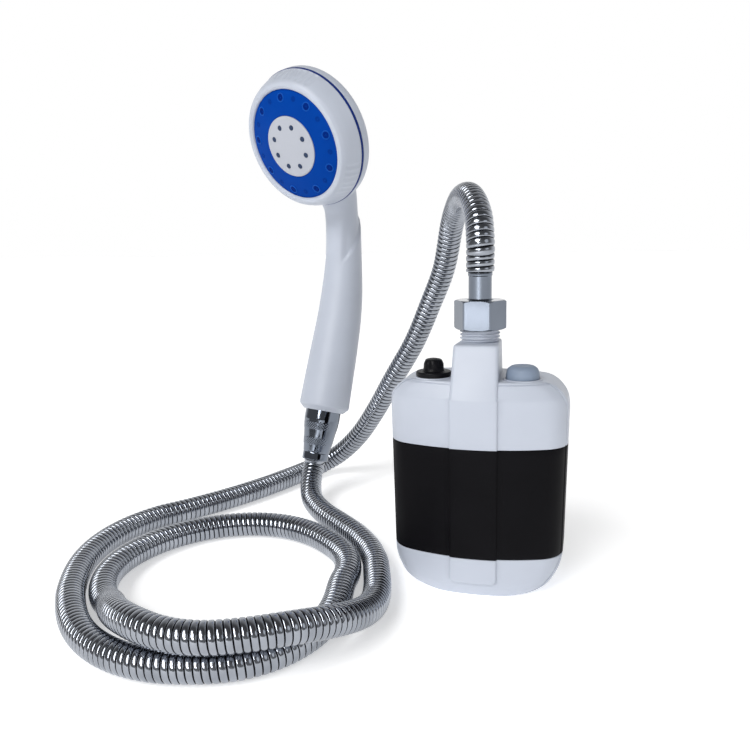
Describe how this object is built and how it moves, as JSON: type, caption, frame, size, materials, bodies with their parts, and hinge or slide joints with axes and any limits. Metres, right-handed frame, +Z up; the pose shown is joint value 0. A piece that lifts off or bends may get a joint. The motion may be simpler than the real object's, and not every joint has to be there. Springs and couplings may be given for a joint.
{
  "type": "camp shower pump",
  "caption": "Rechargeable pump that stands in a bucket and feeds a hand shower through a ribbed metal hose coiled beside it.",
  "frame": {"origin": "centre of the pump's flat base, on the surface it stands on", "axes": "+Z up, the pump's front with its raised strip towards -Y, its port plug towards -X and its button towards +X"},
  "size_m": [0.2753, 0.3167, 0.2956],
  "materials": {
    "white_shell": "polished white",
    "black_band": "satin",
    "seal_rubber": "matt",
    "plug_rubber": "satin",
    "button_silicone": "matt",
    "screw_steel": "plain",
    "sponge": "open foam",
    "pump_plastic": "moulded",
    "impeller_plastic": "moulded",
    "motor_can": "zinc plated",
    "tube_plastic": "moulded",
    "cell_wrap": "film",
    "board": "lacquered",
    "socket_metal": "plated",
    "chrome": "polished",
    "hose_metal": "polished ribs",
    "blue_face": "satin",
    "seam_blue": "satin"
  },
  "bodies": {
    "pump": {"bottom_shell": "white_shell", "middle_shell": "black_band", "top_shell": "white_shell", "lower_seal": "seal_rubber", "upper_seal": "seal_rubber", "base_screw_1": "screw_steel", "base_screw_2": "screw_steel", "base_screw_3": "screw_steel", "base_screw_4": "screw_steel", "intake_sponge": "sponge", "volute": "pump_plastic", "volute_cover": "pump_plastic", "shaft_seal": "seal_rubber", "motor": "motor_can", "delivery_tube": "tube_plastic", "tube_ring": "seal_rubber", "cell_left": "cell_wrap", "cell_right": "cell_wrap", "inner_frame": "tube_plastic", "control_board": "board", "switch_body": "black_band", "charge_socket": "socket_metal", "outlet_washer": "seal_rubber", "pump_ferrule": "chrome", "hose_rise": "hose_metal", "hose_coil": "hose_metal", "hose_tail": "hose_metal", "hand_ferrule": "chrome"},
    "rotor": {"impeller": "impeller_plastic", "motor_shaft": "screw_steel"},
    "grille": {"intake_grille": "white_shell"},
    "plug": {"port_plug": "plug_rubber"},
    "button": {"power_button": "button_silicone"},
    "union_carrier": {"thrust_ring": "tube_plastic"},
    "union_nut": {"hose_nut": "chrome"},
    "handset": {"handle": "white_shell", "seam_ring": "seam_blue", "diverter_disc": "black_band", "hand_washer": "seal_rubber"},
    "tapered_nut": {"cone_nut": "chrome"},
    "spray_head": {"bezel": "white_shell", "spray_ring": "blue_face", "centre_disc": "white_shell", "selector_plate": "black_band", "stem_ring": "seal_rubber"}
  },
  "joints": [
    {"name": "impeller_spin", "type": "hinge", "parent": "pump", "child": "rotor", "pos_m": [0, 0, 0.035], "axis": [0, 0, 1], "continuous": true},
    {"name": "grille_pull", "type": "slide", "parent": "pump", "child": "grille", "axis": [0, 1, 0], "range_m": [0, 0.012]},
    {"name": "port_plug_pull", "type": "slide", "parent": "pump", "child": "plug", "axis": [0, 0, 1], "range_m": [0, 0.02]},
    {"name": "power_press", "type": "slide", "parent": "pump", "child": "button", "axis": [0, 0, -1], "range_m": [0, 0.002], "stiffness_N_per_m": 900, "springref_m": -0.0005},
    {"name": "nut_lift", "type": "slide", "parent": "pump", "child": "union_carrier", "axis": [0, 0, 1], "range_m": [0, 0.00544]},
    {"name": "nut_turn", "type": "hinge", "parent": "union_carrier", "child": "union_nut", "pos_m": [0, 0, 0.145], "axis": [0, 0, 1], "range_deg": [0, 1080]},
    {"name": "handset_swivel", "type": "hinge", "parent": "pump", "child": "handset", "pos_m": [-0.127, 0.118, 0.0655], "axis": [0.1236, 0.265, 0.9563], "continuous": true},
    {"name": "cone_turn", "type": "hinge", "parent": "handset", "child": "tapered_nut", "pos_m": [-0.127, 0.118, 0.0655], "axis": [0.1236, 0.265, 0.9563], "range_deg": [0, 720]},
    {"name": "spray_select", "type": "hinge", "parent": "handset", "child": "spray_head", "pos_m": [-0.13569, 0.09936, 0.24516], "axis": [0.3945, 0.8461, 0.3584], "range_deg": [0, 120]}
  ],
  "couplings": [
    {"joint": "nut_turn", "follows": "nut_lift", "rad_per_m": 3463.7}
  ]
}
